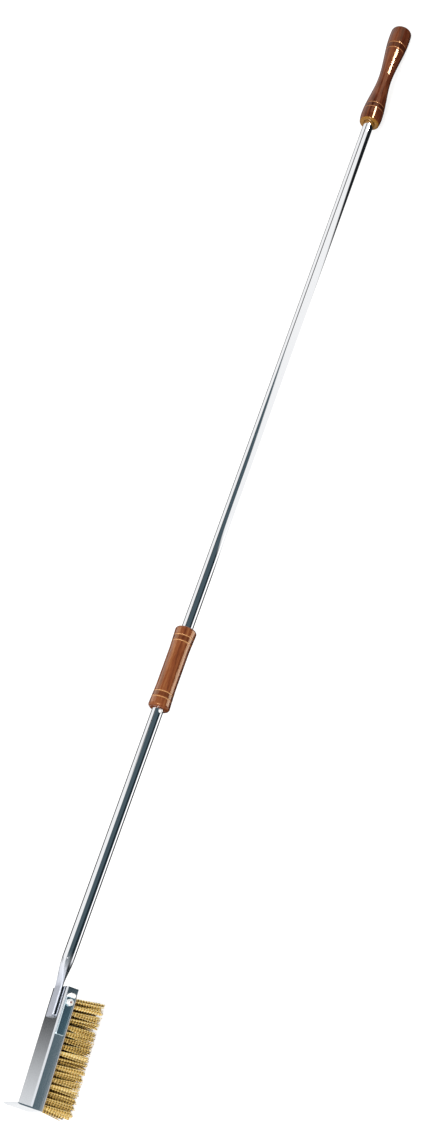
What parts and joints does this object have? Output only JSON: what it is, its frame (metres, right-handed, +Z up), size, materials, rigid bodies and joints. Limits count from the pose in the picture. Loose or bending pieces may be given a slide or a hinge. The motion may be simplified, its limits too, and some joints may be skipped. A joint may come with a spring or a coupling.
{
  "type": "pizza oven brush",
  "caption": "Long brush for an oven floor: brass wire tufts in a folded steel head with a scraper plate, on a chromed tube with a turned wooden handle and a wooden grip.",
  "frame": {"origin": "middle of the footprint, on the surface that the brush lies on", "axes": "+X along the brush to the scraper at its tip, +Y to the side with the locking bar, +Z up out of the back of the head"},
  "size_m": [1.7464, 0.0642, 0.0732],
  "materials": {
    "chromed_tube": "bright chrome plate on steel tube",
    "varnished_wood": "turned hardwood, stained red-brown and varnished glossy",
    "sheet_steel": "cold-rolled sheet steel, satin",
    "block_wood": "plain planed beech",
    "brass_wire": "crimped bright brass wire",
    "bright_fastener": "bright zinc plate"
  },
  "bodies": {
    "root": {"handle_tube": "chromed_tube", "end_handle": "varnished_wood", "mid_grip": "varnished_wood", "grip_stop": "bright_fastener", "head_channel": "sheet_steel", "scraper_plate": "sheet_steel", "brush_block": "block_wood", "locking_bar": "sheet_steel", "cross_bolt": "bright_fastener", "bolt_washer": "bright_fastener", "bolt_nut": "bright_fastener", "tuft_row_01": "brass_wire", "tuft_row_02": "brass_wire", "tuft_row_03": "brass_wire", "tuft_row_04": "brass_wire", "tuft_row_05": "brass_wire", "tuft_row_06": "brass_wire", "tuft_row_07": "brass_wire", "tuft_row_08": "brass_wire", "tuft_row_09": "brass_wire", "tuft_row_10": "brass_wire", "tuft_row_11": "brass_wire", "tuft_row_12": "brass_wire", "tuft_row_13": "brass_wire", "tuft_row_14": "brass_wire", "tuft_row_15": "brass_wire", "tuft_row_16": "brass_wire", "tuft_row_17": "brass_wire"}
  },
  "joints": []
}
